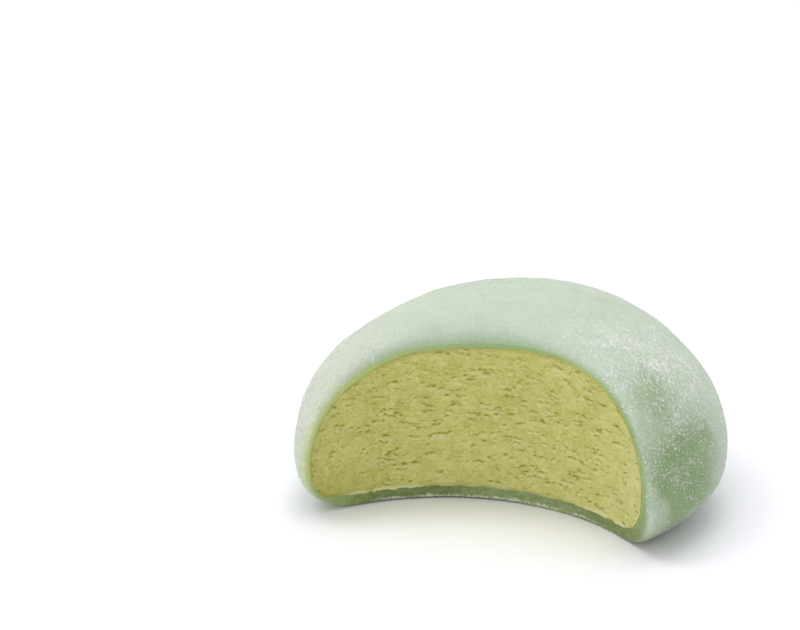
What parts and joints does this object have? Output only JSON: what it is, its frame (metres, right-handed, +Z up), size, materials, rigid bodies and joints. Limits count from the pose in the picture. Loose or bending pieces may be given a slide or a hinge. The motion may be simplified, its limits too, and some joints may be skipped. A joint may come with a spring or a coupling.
{
  "type": "filled mochi rice cake",
  "caption": "Soft rice cake with a powdered green skin round a frozen cream filling, one side scooped away in a round hollow cut that shows the filling.",
  "frame": {"origin": "under the middle of the bounding box, on the plane the cake rests on", "axes": "+Z up, the scooped side faces -Y, +X to the right seen from that side"},
  "size_m": [0.0464, 0.0378, 0.0218],
  "materials": {
    "rice_skin": "soft matte rice dough, pale green, dusted with fine white starch",
    "frozen_cream": "matte airy frozen cream, yellow green, with small flat air pits"
  },
  "bodies": {
    "root": {"mochi_skin": "rice_skin", "cream_filling": "frozen_cream"}
  },
  "joints": []
}
